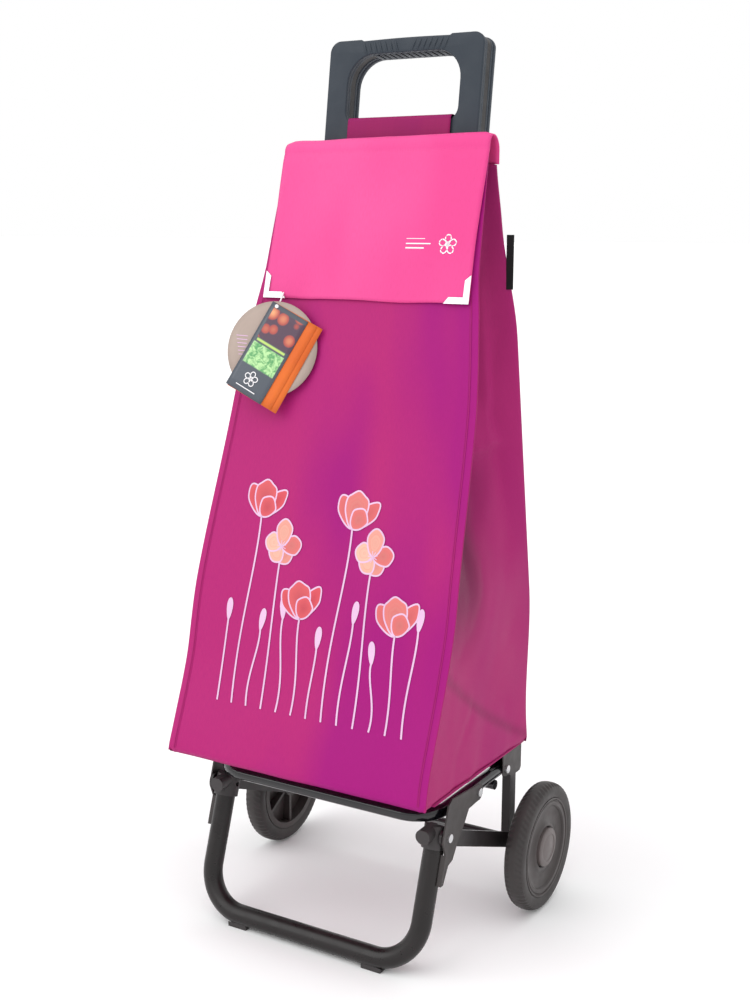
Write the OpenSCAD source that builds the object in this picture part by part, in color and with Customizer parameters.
// Folding two-wheel shopping trolley: tube chassis, fold-out foot, plastic loop handle, fabric bag.
// Lengths in millimetres. X to the right, Y to the rear, Z up. The origin is on the ground at the
// centre of the outline seen from above. The chassis is drawn about the axle and then shifted back.

/* [Wheels] */
// Outer diameter of a wheel
wheel_d = 160; // [150:1:164]
// Width of a tyre
tyre_w = 26; // [24:1:26]
// Width over the outer faces of both tyres
track_w = 412; // [412:1:420]
// Diameter of the axle
axle_d = 10; // [8:0.5:11]
// Diameter of a hub cap
hub_cap_d = 49; // [44:1:52]

/* [Chassis] */
// Distance between the two posts, centre to centre
post_gap = 300; // [296:1:300]
// Height of the platform tube's centre
platform_z = 184; // [184:1:186]
// Reach of the platform's front bar ahead of the axle
platform_reach = 209; // [205:1:212]
// Diameter of the platform tube
rail_d = 16; // [15:0.5:16]
// Diameter of the foot's tube
leg_d = 24; // [22:0.5:24]
// Distance between the foot's two legs, centre to centre
leg_gap = 296; // [292:1:296]
// Reach of the foot bar ahead of the axle
foot_reach = 238; // [234:1:240]
// Diameter of an upright tube
upright_d = 14; // [12:0.5:14]

/* [Handle] */
// Width of the handle
handle_w = 209; // [205:1:212]
// Height of the handle's top above the ground
handle_top = 1060; // [1050:1:1065]
// Depth of the handle, all three layers
handle_t = 32; // [30:1:32]
// Backward lean of the handle in degrees
handle_lean = 8; // [7:0.5:9]

/* [Bag] */
// Width of the bag at its floor
bag_bottom_w = 360; // [350:1:360]
// Width of the bag at its mouth
bag_top_w = 280; // [276:1:284]
// Height of the bag's floor above the ground
bag_floor_z = 221; // [221:1:224]
// Reach of the bag's front edge ahead of the axle, at its floor
bag_reach = 252; // [250:1:254]
// Thickness of the bag's fabric walls
cloth_t = 2; // [1.5:0.5:2]
// Width of the flap
flap_w = 277; // [270:1:278]
// Length of the flap's front drop
flap_drop = 174; // [160:1:176]

/* [Hidden] */

$fn = 64;
axle_z = wheel_d / 2;
// The bag's front edge and the tyres' rear are the ends of the outline.
axle_y = (bag_reach - axle_z) / 2;

tube_wall = 1.5;
post_x = post_gap / 2;
post_w = 11;
post_depth = 16;
post_top = 212;
knuckle_bottom = 170;
knuckle_top = 218;
knuckle_half_w = 10;
cheek_t = 1.6;

// Pivots of the folding linkage as [y, z] beside the axle
platform_pivot = [-28, platform_z];
leg_pivot = [-116, platform_z + 3];
brace_pivot = [-190, 158];
pivot_r = 3;
rivet_head_r = 5;

rail_x = post_x;
rail_bend = 38;
leg_x = leg_gap / 2;
leg_bend = 52;
foot_z = leg_d / 2 + 2;
leg_lean = atan((foot_reach + brace_pivot[0]) / (brace_pivot[1] - foot_z));
leg_top = 168;
leg_length = (leg_top - foot_z) / cos(leg_lean);

// Planes of the flat links, from the leg's side outwards
link_gap = 0.3;
brace_x = [160.3, 163.3];
plate_x = [163.6, 165.6];
brace_h = 19;
slot_back = 3.7;
slot_front = 9.4;
slot_r = pivot_r + 0.4;

wheel_x = track_w / 2;
bush_r = 8;
bush_l = 17;
// Where the tyre sits on the rim
seat_r = wheel_d / 2 - 18;
running = 0.05;
spoke_count = 6;

handle_low = 885;
handle_arm = 28;
handle_bar_low = 918;
handle_bar_high = 960;
opening_top = 1042;
// Where the handle's middle plane stands at its top
handle_top_y = 1;
handle_core_t = 9;
groove = 1.2;
handle_shell_t = (handle_t - handle_core_t) / 2;

bag_back_z = 912;
bag_front_z = 925;
bag_back_low = -12;
bag_back_high = -42;
bag_front_high = -66;
// Slope of the bag's front from the upright
bag_slope = atan2(bag_front_high + bag_reach, bag_front_z - bag_floor_z);

flap_t = 1.6;
arch_r = 12.7;
arch_y = -53.7;
arch_z = 926;
flap_sewn_z = 914;
flap_gap = 0.9;
flap_high = arch_z - 0.2;
flap_low = flap_high - flap_drop * cos(bag_slope);

board_t = 3;
board_hinge = [-17, bag_floor_z + 3.5];
board_reach = 235;
board_half_w = 160;

disc_r = 57.5;
card_size = [73, 114];
card_tilt = -23;
// The swing tag's eyelet as [x, z], its distance off the front panel and its turn to the side
tag_pivot = [-107, 743];
tag_stand = 16;
tag_turn = 12;

// A point a fraction f of the way from a to b
function mix(a, b, f) = a + (b - a) * f;
function bag_f(z) = (z - bag_floor_z) / (bag_back_z - bag_floor_z);
function bag_half_w(z) = mix(bag_bottom_w, bag_top_w, bag_f(z)) / 2;
function bag_front_y(z) =
    mix(-bag_reach, bag_front_high, (z - bag_floor_z) / (bag_front_z - bag_floor_z));
function bag_back_y(z) = mix(bag_back_low, bag_back_high, bag_f(z));
// Middle plane of the handle at height z
function handle_y(z) = handle_top_y + (z - handle_top) * tan(handle_lean);

// Ends of an upright's axis
upright_low = [post_x - 2, 2.5, knuckle_top + 0.8];
upright_high = [handle_w / 2 - handle_arm / 2, handle_y(handle_low) + 0.5, handle_low - 1];

// Moves what is drawn beside the axle to its place over the origin
module beside_axle() {
    translate([0, axle_y, 0]) children();
}

// side is 1 on the right and -1 on the left
module on_side(side) {
    if (side > 0) children();
    else mirror([1, 0, 0]) children();
}

// Round bar along X between two stations
module bar_x(x0, x1, r, y, z) {
    translate([x0, y, z]) rotate([0, 90, 0]) cylinder(r = r, h = x1 - x0);
}

// Flat plate in the Y-Z plane between two stations in X; its outline is drawn as [y, z]
module plate_yz(x0, x1) {
    translate([x0, 0, 0])
        rotate([90, 0, 90]) linear_extrude(height = x1 - x0) children();
}

// Straight rod between two points
module rod(a, b, r) {
    d = b - a;
    translate(a)
        rotate([0, acos(d[2] / norm(d)), atan2(d[1], d[0])])
            cylinder(r = r, h = norm(d));
}

// Half of a U-shaped tube in the X-Y plane: the arm runs along -Y from y0, then bends to x = 0
module half_u(x, y0, reach, bend, r) {
    translate([x, y0, 0]) rotate([90, 0, 0]) cylinder(r = r, h = reach - bend + y0);
    translate([x - bend, -(reach - bend), 0])
        rotate([0, 0, -90]) rotate_extrude(angle = 90) translate([bend, 0]) circle(r = r);
    translate([-1, -reach, 0]) rotate([0, 90, 0]) cylinder(r = r, h = x - bend + 1);
}

module u_tube(x, y0, reach, bend, d) {
    difference() {
        union() {
            half_u(x, y0, reach, bend, d / 2);
            mirror([1, 0, 0]) half_u(x, y0, reach, bend, d / 2);
        }
        union() {
            half_u(x, y0 + 1, reach, bend, d / 2 - tube_wall);
            mirror([1, 0, 0]) half_u(x, y0 + 1, reach, bend, d / 2 - tube_wall);
        }
    }
}

// Rivet along X with a shallow head on its outer end
module rivet(x0, x1, at, head = 2) {
    bar_x(x0, x1, pivot_r, at[0], at[1]);
    bar_x(x1, x1 + head, rivet_head_r, at[0], at[1]);
}

// ---- wheels ----

// Solid of revolution about the axle; the outline is drawn as [radius, x]
module about_axle() {
    beside_axle() translate([0, 0, axle_z]) rotate([0, 90, 0]) rotate_extrude($fn = 96) children();
}

module tyre_outline() {
    x1 = wheel_x;
    x0 = x1 - tyre_w;
    r = wheel_d / 2;
    polygon([[seat_r, x0], [r - 8, x0], [r - 3.5, x0 + 2], [r - 0.8, x0 + 6], [r, x0 + 11],
             [r, x1 - 11], [r - 0.8, x1 - 6], [r - 3.5, x1 - 2], [r - 8, x1], [seat_r, x1]]);
}

module rim_outline() {
    x1 = wheel_x;
    x0 = x1 - tyre_w;
    ring = seat_r - 8;
    polygon([[bush_r, x0 + 0.5], [16, x0 + 0.5], [16, x1 - 14], [ring, x1 - 10], [ring, x0 + 1],
             [seat_r - 0.1, x0 + 1], [seat_r - 0.1, x1 - 1], [ring, x1 - 1], [ring - 2, x1 - 6],
             [34, x1 - 6], [30, x1 - 2], [26, x1 - 2], [25, x1 - 8], [bush_r, x1 - 8]]);
}

module tyre(side) {
    color([0.16, 0.14, 0.14]) on_side(side) about_axle() tyre_outline();
}

module rim(side) {
    color([0.24, 0.21, 0.21]) on_side(side) {
        about_axle() rim_outline();
        beside_axle() translate([wheel_x - tyre_w + 4, 0, axle_z]) rotate([0, 90, 0])
            for (i = [0 : spoke_count - 1])
                rotate([0, 0, i * 360 / spoke_count])
                    translate([15, -2.5, 0]) cube([seat_r - 22, 5, tyre_w - 13]);
    }
}

module bush(side) {
    x1 = wheel_x - 9;
    color([0.75, 0.75, 0.72]) on_side(side) about_axle()
        translate([axle_d / 2 + running, x1 - bush_l]) square([bush_r - axle_d / 2 - running, bush_l]);
}

module hub_cap(side) {
    x1 = wheel_x;
    color([0.34, 0.30, 0.30]) on_side(side) about_axle()
        polygon([[0, x1 - 1], [24, x1 - 1], [24, x1 - 5], [24.9, x1 - 5],
                 [hub_cap_d / 2 + 0.4, x1 - 0.6], [hub_cap_d / 2 - 2, x1 + 0.6], [0, x1 + 1]]);
}

module axle() {
    color([0.2, 0.2, 0.2]) beside_axle()
        bar_x(-wheel_x + 6, wheel_x - 6, axle_d / 2, 0, axle_z);
}

// Push-on cap that keeps the wheel on the axle's end
module axle_clip(side) {
    color([0.7, 0.7, 0.72]) on_side(side) about_axle()
        translate([axle_d / 2, wheel_x - 7.8]) square([5, 1.6]);
}

module spacer(side) {
    color([0.12, 0.12, 0.12]) on_side(side) about_axle() {
        translate([axle_d / 2 + running, post_x + post_w / 2])
            square([4, brace_x[0] - link_gap - post_x - post_w / 2]);
        translate([axle_d / 2 + running, brace_x[1] + link_gap])
            square([4, wheel_x - tyre_w - brace_x[1] - 2 * link_gap]);
    }
}

// ---- chassis ----

module post(side) {
    color([0.10, 0.10, 0.11]) on_side(side) beside_axle() difference() {
        union() {
            translate([post_x - post_w / 2, -post_depth / 2, axle_z])
                cube([post_w, post_depth, post_top - axle_z]);
            bar_x(post_x - post_w / 2, post_x + post_w / 2, post_depth / 2, 0, axle_z);
        }
        bar_x(post_x - post_w, post_x + post_w, axle_d / 2 + running, 0, axle_z);
        translate([post_x - post_w / 2 + tube_wall, -post_depth / 2 + tube_wall, axle_z + 12])
            cube([post_w - 2 * tube_wall, post_depth - 2 * tube_wall, post_top]);
    }
}

// Bracket that holds the post, the upright and the platform's rear pivot
module knuckle(side) {
    front = platform_pivot[0] - 11;
    color([0.30, 0.27, 0.27]) on_side(side) beside_axle() difference() {
        union() {
            plate_yz(post_x - knuckle_half_w, post_x + knuckle_half_w)
                polygon([[front, platform_z - 5], [front, knuckle_top], [13, knuckle_top],
                         [13, knuckle_bottom + 4], [10, knuckle_bottom], [-12, knuckle_bottom],
                         [-22, platform_z - 9]]);
            bar_x(post_x - knuckle_half_w, post_x + knuckle_half_w, 9,
                  platform_pivot[0], platform_pivot[1]);
        }
        // Room for the platform rail and its swing
        translate([post_x - knuckle_half_w + cheek_t, -70, knuckle_bottom - 10])
            cube([2 * (knuckle_half_w - cheek_t), 70 - post_depth / 2 - 0.6, 80]);
        // Socket of the post
        translate([post_x - post_w / 2, -post_depth / 2 - 1, knuckle_bottom - 10])
            cube([post_w, post_depth + 1, post_top - knuckle_bottom + 10]);
        bar_x(post_x - 20, post_x + 20, pivot_r, platform_pivot[0], platform_pivot[1]);
    }
}

module platform_pin(side) {
    color([0.85, 0.85, 0.85]) on_side(side) beside_axle()
        rivet(post_x - knuckle_half_w - 1.5, post_x + knuckle_half_w, platform_pivot);
}

module upright(side) {
    color([0.10, 0.10, 0.11]) on_side(side) beside_axle() difference() {
        rod(upright_low, upright_high, upright_d / 2);
        rod(mix(upright_low, upright_high, 0.002), mix(upright_low, upright_high, 0.998),
            upright_d / 2 - tube_wall);
    }
}

// Bar that ties the two uprights behind the bag
module cross_brace() {
    p = mix(upright_low, upright_high, 0.42);
    x = p[0] - upright_d / 2 - 0.2;
    color([0.10, 0.10, 0.11]) beside_axle() bar_x(-x, x, 5, p[1], p[2]);
}

// Sleeve between the top of an upright and the handle's arm
module handle_socket(side) {
    color([0.14, 0.15, 0.17]) on_side(side) beside_axle() difference() {
        rod(mix(upright_low, upright_high, 0.95), mix(upright_low, upright_high, 1.015), 10.5);
        rod(mix(upright_low, upright_high, 0.9), mix(upright_low, upright_high, 1.05),
            upright_d / 2);
        handle_space() translate([-handle_w, handle_low - handle_top]) square([2 * handle_w, 200]);
    }
}

// ---- handle ----

// Draws a flat outline, as [x, height from the handle's top], as a slab between two depths
module handle_slab(t0, t1) {
    translate([0, handle_top_y, handle_top]) rotate([-handle_lean, 0, 0])
        rotate([90, 0, 0]) translate([0, 0, t0]) linear_extrude(height = t1 - t0) children();
}

// The whole depth of the handle beside the axle
module handle_space() {
    handle_slab(-handle_t / 2, handle_t / 2) children();
}

module round_box(x, z0, z1, r_low, r_high) {
    hull() {
        for (s = [-1, 1]) {
            translate([s * (x - r_high), z1 - r_high]) circle(r = r_high);
            translate([s * (x - r_low), z0 + r_low]) circle(r = r_low);
        }
    }
}

module handle_outline(inset = 0) {
    top = -inset;
    x = handle_w / 2 - inset;
    difference() {
        round_box(x, handle_low - handle_top, top, 3, 14 - inset);
        round_box(x - handle_arm + 2 * inset, handle_bar_high - handle_top - inset,
                  opening_top - handle_top + inset, 16, 34);
        translate([-x + handle_arm - 2 * inset, handle_low - handle_top - 1])
            square([2 * (x - handle_arm + 2 * inset), handle_bar_low - handle_low + 1 + inset]);
    }
}

module handle_core() {
    color([0.13, 0.14, 0.16]) beside_axle()
        handle_slab(-handle_core_t / 2, handle_core_t / 2) handle_outline(groove);
}

module handle_front_shell() {
    color([0.17, 0.19, 0.22]) beside_axle()
        handle_slab(handle_core_t / 2, handle_core_t / 2 + handle_shell_t) handle_outline();
}

module handle_rear_shell() {
    color([0.17, 0.19, 0.22]) beside_axle()
        handle_slab(-handle_core_t / 2 - handle_shell_t, -handle_core_t / 2) handle_outline();
}

// Six screws that clamp the handle's layers from behind
module handle_screws() {
    x = handle_w / 2 - handle_arm / 2;
    color([0.6, 0.6, 0.62]) beside_axle()
        handle_slab(-handle_t / 2 - 1.5, -handle_t / 2)
            for (s = [-1, 1], h = [-14, -80, -150]) translate([s * x, h]) circle(r = 3.5);
}

// ---- bag ----

// Flat-sided panel from its outer corners, moved by `inward` to make its inner face
module panel(corners, inward) {
    n = len(corners);
    points = concat(corners, [for (c = corners) c + inward]);
    polyhedron(points = points,
               faces = concat([[for (i = [0 : n - 1]) i]],
                              [[for (i = [n - 1 : -1 : 0]) n + i]],
                              [for (i = [0 : n - 1]) [i, n + i, n + (i + 1) % n, (i + 1) % n]]));
}

module bag_front_panel() {
    z0 = bag_floor_z;
    z1 = bag_front_z;
    color([0.62, 0.12, 0.44]) beside_axle()
        panel([[-bag_half_w(z0), bag_front_y(z0), z0], [-bag_half_w(z1), bag_front_y(z1), z1],
               [bag_half_w(z1), bag_front_y(z1), z1], [bag_half_w(z0), bag_front_y(z0), z0]],
              [0, cloth_t, 0]);
}

module bag_back_panel() {
    z0 = bag_floor_z;
    z1 = bag_back_z;
    color([0.55, 0.10, 0.40]) beside_axle()
        panel([[bag_half_w(z0), bag_back_y(z0), z0], [bag_half_w(z1), bag_back_y(z1), z1],
               [-bag_half_w(z1), bag_back_y(z1), z1], [-bag_half_w(z0), bag_back_y(z0), z0]],
              [0, -cloth_t, 0]);
}

module bag_gusset(side) {
    z0 = bag_floor_z;
    z1 = bag_back_z;
    f = cloth_t;
    color([0.55, 0.08, 0.38]) on_side(side) beside_axle()
        panel([[bag_half_w(z0), bag_front_y(z0) + f, z0], [bag_half_w(z1), bag_front_y(z1) + f, z1],
               [bag_half_w(z1), bag_back_y(z1) - f, z1], [bag_half_w(z0), bag_back_y(z0) - f, z0]],
              [-cloth_t, 0, 0]);
}

// Fabric tunnel that hangs the bag from the handle's lower bar
module bag_sleeve() {
    low = handle_bar_low - handle_top - 5;
    high = handle_bar_high - handle_top + 8;
    half = handle_t / 2;
    color([0.62, 0.12, 0.44]) beside_axle() difference() {
        handle_slab(-half - 3, half + 3) translate([-70, low]) square([140, high - low]);
        handle_slab(-half - 1, half + 1) translate([-71, low + 2]) square([142, high - low - 4]);
    }
}

// Blank woven label sewn into the rear side seam
module bag_side_label() {
    z = 802;
    color([0.05, 0.05, 0.05]) beside_axle()
        translate([bag_half_w(z - 31) + 0.3, bag_back_y(z) - 1, z - 31]) cube([9, 1, 62]);
}

module bag_floor() {
    half = bag_bottom_w / 2;
    color([0.55, 0.10, 0.40]) beside_axle()
        translate([-half, -bag_reach, bag_floor_z - cloth_t])
            cube([2 * half, bag_reach + bag_back_low, cloth_t]);
}

// Stiff board on the bag's floor, hinged at its rear edge
module base_board() {
    color([0.2, 0.2, 0.2]) beside_axle() {
        translate([-board_half_w, -board_reach, board_hinge[1] - board_t / 2])
            cube([2 * board_half_w, board_reach + board_hinge[0], board_t]);
        bar_x(-board_half_w, board_half_w, board_t / 2, board_hinge[0], board_hinge[1]);
    }
}

// ---- flap ----

// Arched top of the flap, from its sewn rear edge to the front fold
module flap_top() {
    color([0.90, 0.20, 0.55]) beside_axle() {
        plate_yz(-flap_w / 2, flap_w / 2) translate([arch_y, arch_z + 1.2]) intersection() {
            difference() {
                circle(r = arch_r);
                circle(r = arch_r - flap_t);
            }
            translate([-20, 0]) square([40, 20]);
        }
        translate([-flap_w / 2, arch_y + arch_r - flap_t, flap_sewn_z])
            cube([flap_w, flap_t, arch_z + 1.2 - flap_sewn_z]);
        bar_x(-flap_w / 2, flap_w / 2, flap_t / 2, arch_y + arch_r - flap_t / 2, flap_sewn_z);
    }
}

// Outer face of the flap's front drop, which lies on the front panel
function flap_y(z) = bag_front_y(z) - flap_gap - flap_t;

module flap_front() {
    half = flap_w / 2;
    color([0.92, 0.24, 0.58]) beside_axle() {
        panel([[-half, flap_y(flap_low), flap_low], [-half, flap_y(flap_high), flap_high],
               [half, flap_y(flap_high), flap_high], [half, flap_y(flap_low), flap_low]],
              [0, flap_t, 0]);
        bar_x(-half, half, flap_t / 2, flap_y(flap_high) + flap_t / 2, flap_high);
    }
}

// Metal corner guard: an L along the flap's lower corner
module flap_corner(side) {
    z0 = flap_low;
    half = flap_w / 2;
    arm = 31;
    w = 7;
    color([0.92, 0.92, 0.94]) on_side(side) beside_axle() intersection() {
        panel([[half - arm, flap_y(z0) - 0.8, z0], [half - arm, flap_y(z0 + arm) - 0.8, z0 + arm],
               [half, flap_y(z0 + arm) - 0.8, z0 + arm], [half, flap_y(z0) - 0.8, z0]],
              [0, 0.8, 0]);
        translate([0, 40, z0]) rotate([90, 0, 0]) linear_extrude(height = 200)
            polygon([[half - arm, 0], [half - arm + w, w], [half - w, w],
                     [half - w, arm - w], [half, arm], [half, 0]]);
    }
}

// ---- swing tag ----

// Local frame on the front panel at the eyelet: X across, Y up the panel, Z outwards
module on_panel() {
    beside_axle() translate([tag_pivot[0], bag_front_y(tag_pivot[1]), tag_pivot[1]])
        rotate([90 - bag_slope, 0, 0]) children();
}

module tag_plane(depth) {
    on_panel() translate([0, 0, tag_stand]) rotate([0, tag_turn, 0]) translate([0, 0, depth])
        children();
}

// Loop from the flap's corner through the tag's eyelet
module tag_loop() {
    color([0.93, 0.93, 0.93]) {
        tag_plane(-1.5) cylinder(r = 2.2, h = 6);
        on_panel() rod([-0.3, 0.5, tag_stand - 1], [-3, 20, 4.5], 0.9);
    }
}

module tag_disc() {
    color([0.78, 0.68, 0.56]) tag_plane(0) linear_extrude(height = 1.2) difference() {
        translate([0, -51]) circle(r = disc_r);
        circle(r = 2.5);
    }
}

module tag_card() {
    color([0.25, 0.35, 0.30]) tag_plane(1.6) linear_extrude(height = 1.6) difference() {
        translate([-6, 6]) rotate(card_tilt) translate([0, -card_size[1]]) square(card_size);
        circle(r = 2.5);
    }
}

// ---- platform ----

module platform_tube() {
    color([0.05, 0.05, 0.05]) beside_axle() difference() {
        translate([0, 0, platform_z])
            u_tube(rail_x, platform_pivot[0] + 9, platform_reach, rail_bend, rail_d);
        for (s = [-1, 1]) {
            bar_x(s * rail_x - 12, s * rail_x + 12, pivot_r + running,
                  platform_pivot[0], platform_pivot[1]);
            bar_x(s * rail_x - 12, s * rail_x + 12, pivot_r, leg_pivot[0], leg_pivot[1]);
        }
    }
}

// Cross bar under the rails, closed by round caps
module platform_rear_bar() {
    color([0.07, 0.07, 0.07]) beside_axle() {
        bar_x(-rail_x - 5, rail_x + 5, 6, -50, platform_z - rail_d / 2 - 6);
    }
}

module leg_pin(side) {
    color([0.85, 0.85, 0.85]) on_side(side) beside_axle()
        rivet(rail_x - 4, plate_x[1] + 0.3, leg_pivot);
}

// ---- folding foot ----

// Leans what is drawn flat, with the legs along +Y from the foot bar
module lean() {
    translate([0, -foot_reach, foot_z]) rotate([90 - leg_lean, 0, 0]) children();
}

module foot_plane() {
    beside_axle() lean() children();
}

module leg_tube() {
    color([0.12, 0.12, 0.13]) difference() {
        foot_plane() translate([0, leg_length, 0])
            u_tube(leg_x, 0, leg_length, leg_bend, leg_d);
        beside_axle() for (s = [-1, 1])
            bar_x(s * leg_x - 20, s * leg_x + 20, pivot_r, brace_pivot[0], brace_pivot[1]);
    }
}

// Moulded cap on the leg's top with a short round stub to the front
module leg_collar(side) {
    color([0.09, 0.09, 0.10]) on_side(side) difference() {
        union() {
            foot_plane() translate([leg_x, leg_length - 26, 0]) rotate([-90, 0, 0])
                cylinder(r = 15, h = 28.5);
            beside_axle() translate([leg_x - 3, brace_pivot[0], 164.5]) rotate([90, 0, 0])
                cylinder(r = 9, h = 27);
        }
        foot_plane() translate([leg_x, leg_length - 60, 0]) rotate([-90, 0, 0])
            cylinder(r = leg_d / 2, h = 60);
        beside_axle() {
            translate([brace_x[0] - 0.4, -260, 100]) cube([20, 120, 100]);
            bar_x(leg_x - 30, leg_x + 30, pivot_r, brace_pivot[0], brace_pivot[1]);
            translate([leg_x - 30, -260, 172.5]) cube([60, 120, 30]);
        }
    }
}

// Pressed plate that joins the leg to the platform and the brace; its lower tail steps in
// to the leg's side
module leg_plate(side) {
    p = leg_pivot;
    q = brace_pivot;
    color([0.30, 0.27, 0.27]) on_side(side) beside_axle() difference() {
        union() {
            plate_yz(plate_x[0], plate_x[1]) union() {
                translate(p) circle(r = 10);
                translate(q) circle(r = 15);
                polygon([[p[0] + 1, p[1] + 10], [q[0] + 6, 203], [q[0] - 2, 198], [q[0] - 12, 168],
                         [q[0] - 15, 156], [q[0] - 9, 140], [q[0] - 15, 122], [q[0] + 8, 128],
                         [q[0] + 20, 144], [p[0] - 36, 163], [p[0] - 26, 176], [p[0] + 3, p[1] - 9.5]]);
            }
            plate_yz(leg_x + leg_d / 2 - 0.6, plate_x[1])
                polygon([[q[0] - 9, 140], [q[0] - 15, 122], [q[0] - 20, 106], [q[0] - 14, 106],
                         [q[0] - 2, 126]]);
        }
        bar_x(plate_x[0] - 5, plate_x[1] + 5, pivot_r + running, p[0], p[1]);
        bar_x(plate_x[0] - 5, plate_x[1] + 5, pivot_r, q[0], q[1]);
        lean() translate([leg_x, -20, 0]) rotate([-90, 0, 0])
            cylinder(r = leg_d / 2, h = 220);
    }
}

module brace_pin(side) {
    color([0.85, 0.85, 0.85]) on_side(side) beside_axle()
        rivet(leg_x + leg_d / 2 - 6, plate_x[1], brace_pivot);
}

// Plastic glide clipped on the foot bar's underside
module glide(side) {
    color([0.06, 0.06, 0.06]) on_side(side) beside_axle() difference() {
        translate([82, -foot_reach - 9, 0]) cube([26, 18, foot_z - 4]);
        bar_x(70, 120, leg_d / 2, -foot_reach, foot_z);
    }
}

// Flat link from the axle to the leg, slotted at its front end
module brace(side) {
    reach = norm([brace_pivot[0], brace_pivot[1] - axle_z]);
    rise = atan2(brace_pivot[1] - axle_z, -brace_pivot[0]);
    color([0.08, 0.09, 0.10]) on_side(side) beside_axle()
        translate([0, 0, axle_z]) rotate([-rise, 0, 0]) difference() {
            union() {
                translate([brace_x[0], -reach - slot_front + 2, -brace_h / 2])
                    cube([brace_x[1] - brace_x[0], reach + slot_front - 2, brace_h]);
                bar_x(brace_x[0], brace_x[1], brace_h / 2, 0, 0);
                bar_x(brace_x[0], brace_x[1], brace_h / 2, -reach - slot_front + 2, 0);
            }
            bar_x(brace_x[0] - 1, brace_x[1] + 1, axle_d / 2 + running, 0, 0);
            bar_x(brace_x[0] - 1, brace_x[1] + 1, slot_r, -reach - slot_front, 0);
            bar_x(brace_x[0] - 1, brace_x[1] + 1, slot_r, -reach + slot_back, 0);
            translate([brace_x[0] - 1, -reach - slot_front, -slot_r])
                cube([brace_x[1] - brace_x[0] + 2, slot_front + slot_back, 2 * slot_r]);
        }
}

axle();
post(-1);  // left_post
post(1);  // right_post
knuckle(-1);  // left_knuckle
knuckle(1);  // right_knuckle
upright(-1);  // left_upright
upright(1);  // right_upright
cross_brace();
spacer(-1);  // left_spacer
spacer(1);  // right_spacer
axle_clip(-1);  // left_axle_clip
axle_clip(1);  // right_axle_clip
platform_pin(-1);  // left_platform_pin
platform_pin(1);  // right_platform_pin
handle_core();
handle_front_shell();
handle_rear_shell();
handle_screws();
handle_socket(-1);  // left_handle_socket
handle_socket(1);  // right_handle_socket
bag_front_panel();
bag_back_panel();
bag_gusset(-1);  // bag_left_gusset
bag_gusset(1);  // bag_right_gusset
bag_sleeve();
bag_side_label();
platform_tube();
platform_rear_bar();
leg_pin(-1);  // left_leg_pin
leg_pin(1);  // right_leg_pin
leg_tube();
leg_plate(-1);  // left_leg_plate
leg_plate(1);  // right_leg_plate
leg_collar(-1);  // left_leg_collar
leg_collar(1);  // right_leg_collar
glide(-1);  // left_glide
glide(1);  // right_glide
brace_pin(-1);  // left_brace_pin
brace_pin(1);  // right_brace_pin
brace(-1);  // left_brace
brace(1);  // right_brace
base_board();
bag_floor();
flap_top();
flap_front();
flap_corner(-1);  // flap_left_corner
flap_corner(1);  // flap_right_corner
tag_loop();
tag_disc();
tag_card();
tyre(-1);  // left_tyre
rim(-1);  // left_rim
bush(-1);  // left_bush
hub_cap(-1);  // left_hub_cap
tyre(1);  // right_tyre
rim(1);  // right_rim
bush(1);  // right_bush
hub_cap(1);  // right_hub_cap
